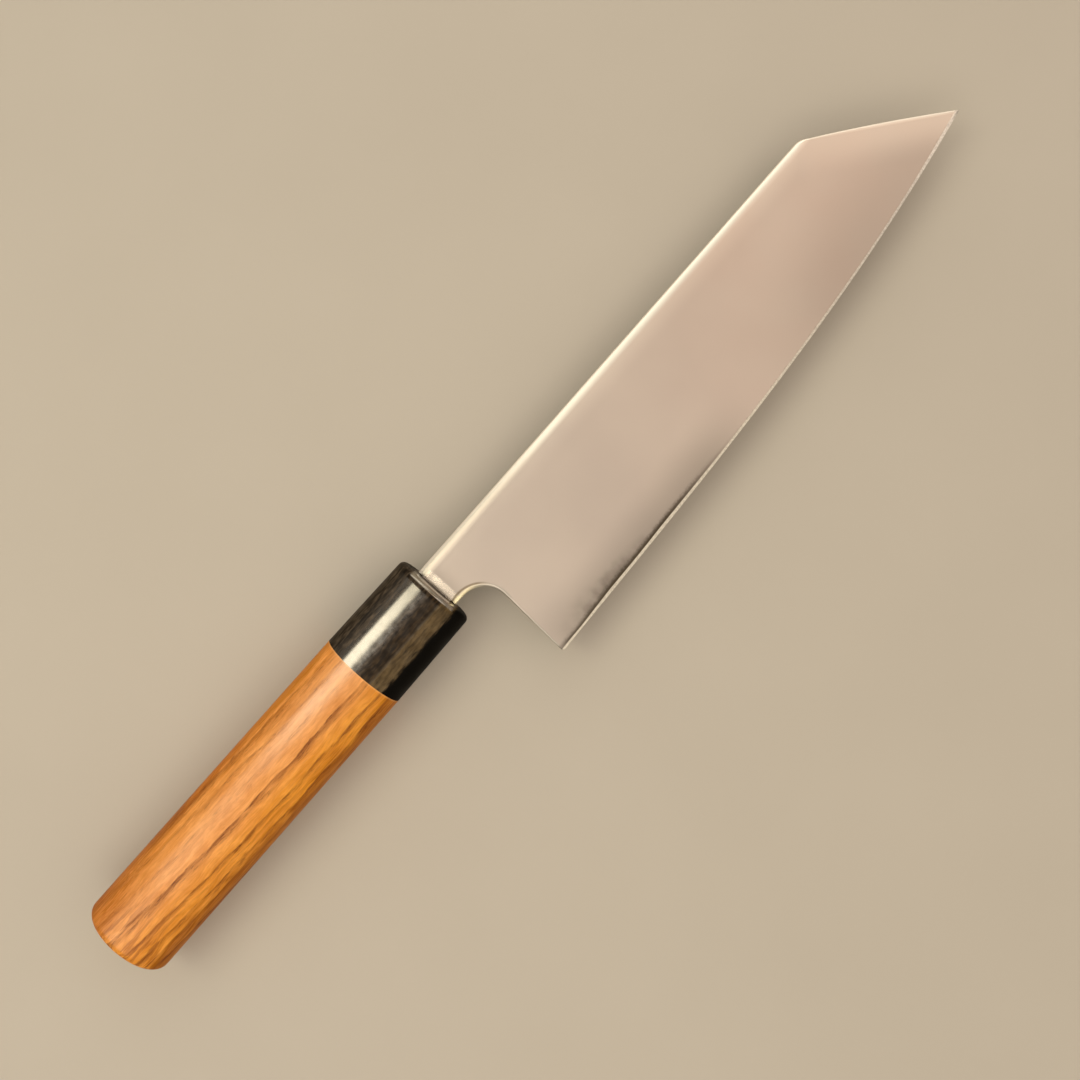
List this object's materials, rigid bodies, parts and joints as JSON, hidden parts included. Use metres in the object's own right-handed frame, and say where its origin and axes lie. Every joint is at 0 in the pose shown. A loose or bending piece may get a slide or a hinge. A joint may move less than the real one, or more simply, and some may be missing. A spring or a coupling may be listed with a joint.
{
  "type": "bunka knife",
  "caption": "Fixed-blade kitchen knife with a clipped tip, a satin steel blade, a dark polished ferrule and an oval wooden handle, for slicing and chopping.",
  "frame": {"origin": "middle of the flat butt end of the handle, on the handle's axis", "axes": "+X along the handle's axis to the tip, +Y from the cutting edge to the spine, +Z square to the knife's right-hand side, which faces up as the knife lies"},
  "size_m": [0.2995, 0.0468, 0.0202],
  "materials": {
    "blade_steel": "satin",
    "dark_horn": "gloss",
    "handle_wood": "satin",
    "dowel_wood": "matte",
    "resin": "gloss"
  },
  "bodies": {
    "root": {"blade": "blade_steel", "ferrule": "dark_horn", "handle_body": "handle_wood", "joining_dowel": "dowel_wood", "tang_resin": "resin"}
  },
  "joints": []
}
